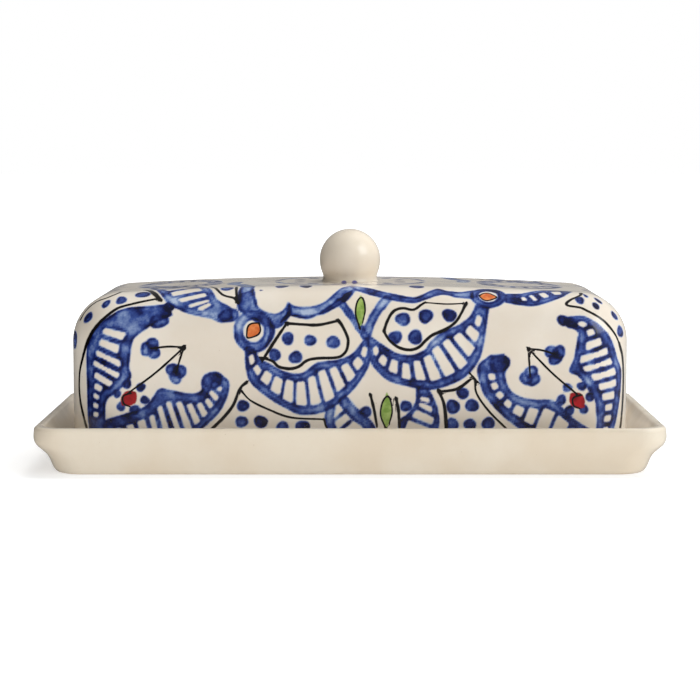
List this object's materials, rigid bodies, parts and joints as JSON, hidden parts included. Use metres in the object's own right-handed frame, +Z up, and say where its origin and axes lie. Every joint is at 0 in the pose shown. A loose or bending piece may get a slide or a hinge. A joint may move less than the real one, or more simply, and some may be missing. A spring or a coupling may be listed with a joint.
{
  "type": "butter dish",
  "caption": "Covered butter dish: a long shallow tray with flared end lips and a box-shaped lid with rounded corners and a turned knob.",
  "frame": {"origin": "middle of the underside of the tray's foot, on the surface that the dish stands on", "axes": "+X along the dish, -Y towards its front, +Z up, along the way the lid lifts"},
  "size_m": [0.2032, 0.1014, 0.0765],
  "materials": {
    "tray_glaze": "glossy ivory glaze",
    "lid_glaze": "glossy clear glaze over ivory slip with painted decoration",
    "knob_glaze": "glossy ivory glaze"
  },
  "bodies": {
    "tray": {"tray": "tray_glaze"},
    "lid": {"lid_shell": "lid_glaze", "lid_knob": "knob_glaze"}
  },
  "joints": [
    {"name": "lid_lift", "type": "slide", "parent": "tray", "child": "lid", "axis": [0, 0, 1], "range_m": [0, 0.09]}
  ]
}
